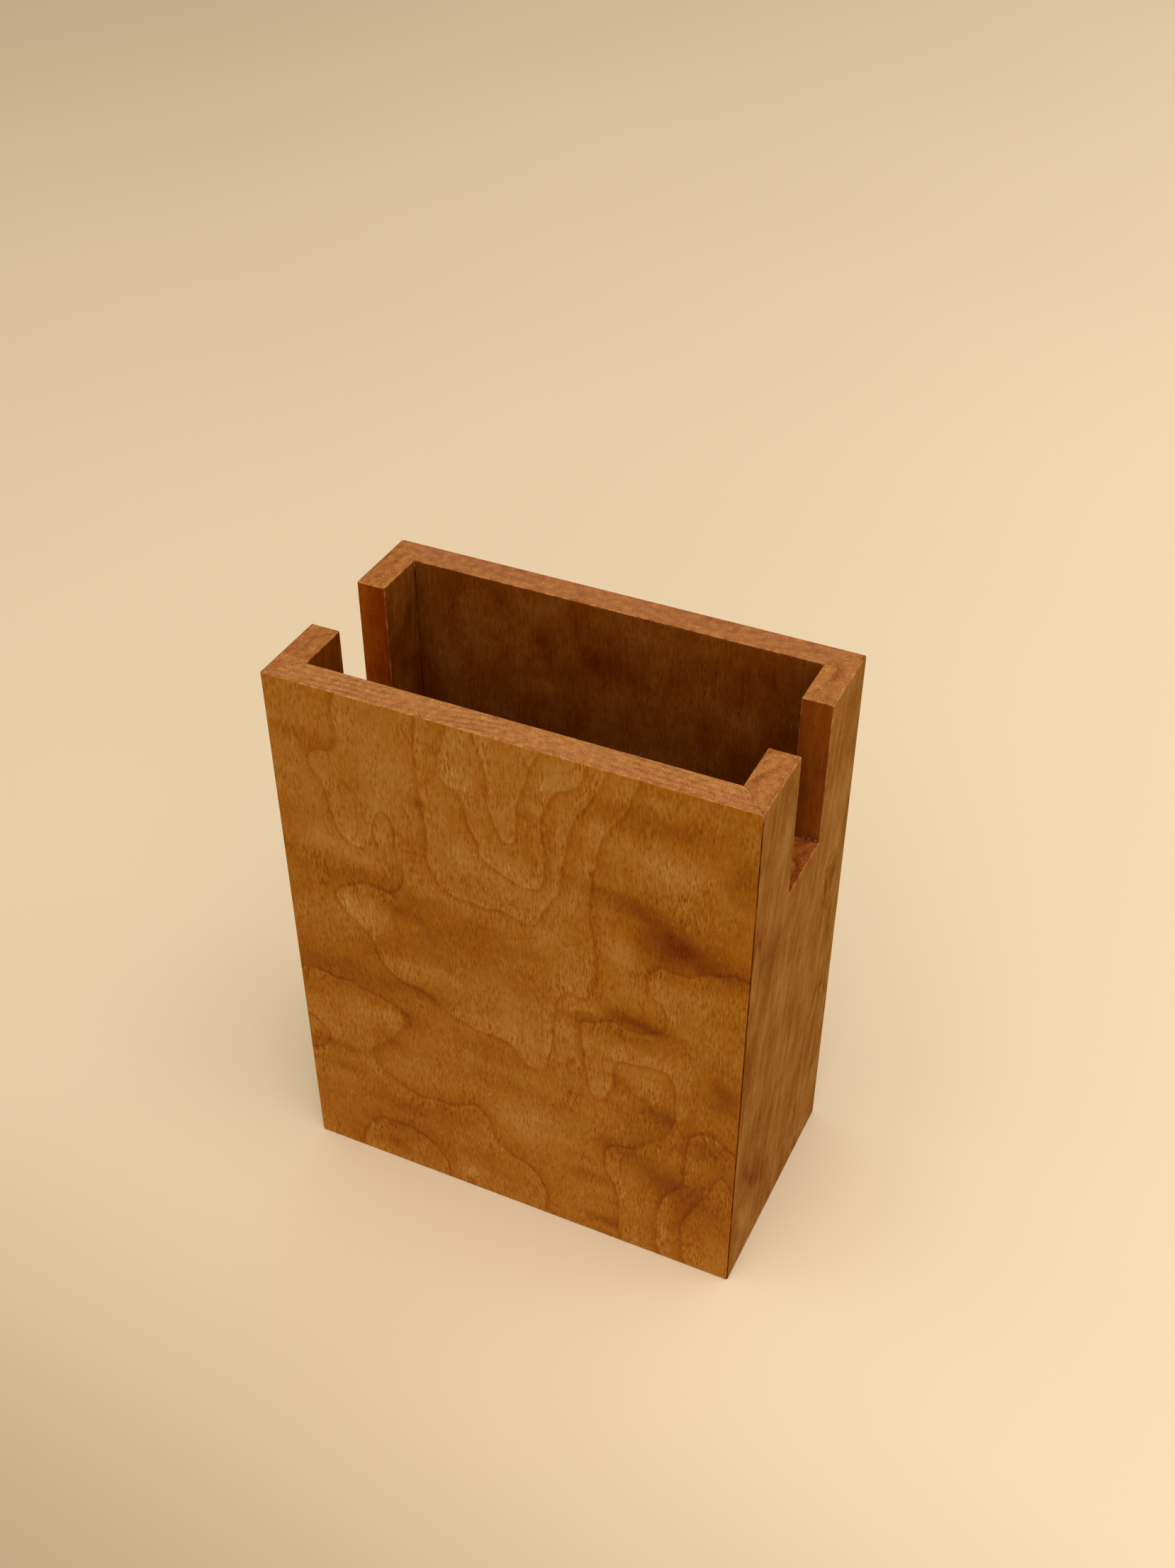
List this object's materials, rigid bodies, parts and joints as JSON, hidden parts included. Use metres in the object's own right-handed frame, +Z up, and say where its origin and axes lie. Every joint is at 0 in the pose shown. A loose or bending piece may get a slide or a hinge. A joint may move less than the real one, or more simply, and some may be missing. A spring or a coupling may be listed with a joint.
{
  "type": "pencil box",
  "caption": "Open-topped upright box of figured hardwood with mitred corners and a deep square notch in each short wall, for pencils and pens on a desk.",
  "frame": {"origin": "on the table, under the middle of the box's footprint", "axes": "+Z up, +X along the long walls, the front wall faces -Y, the notches are in the walls at -X and +X"},
  "size_m": [0.1006, 0.0536, 0.127],
  "materials": {
    "figured_hardwood": "oiled, satin",
    "plain_hardwood": "oiled, satin",
    "cured_glue": "dull"
  },
  "bodies": {
    "root": {"front_panel": "figured_hardwood", "back_panel": "figured_hardwood", "left_panel": "figured_hardwood", "right_panel": "figured_hardwood", "bottom_panel": "plain_hardwood", "glue_line_front_left": "cured_glue", "glue_line_front_right": "cured_glue", "glue_line_back_left": "cured_glue", "glue_line_back_right": "cured_glue"}
  },
  "joints": []
}
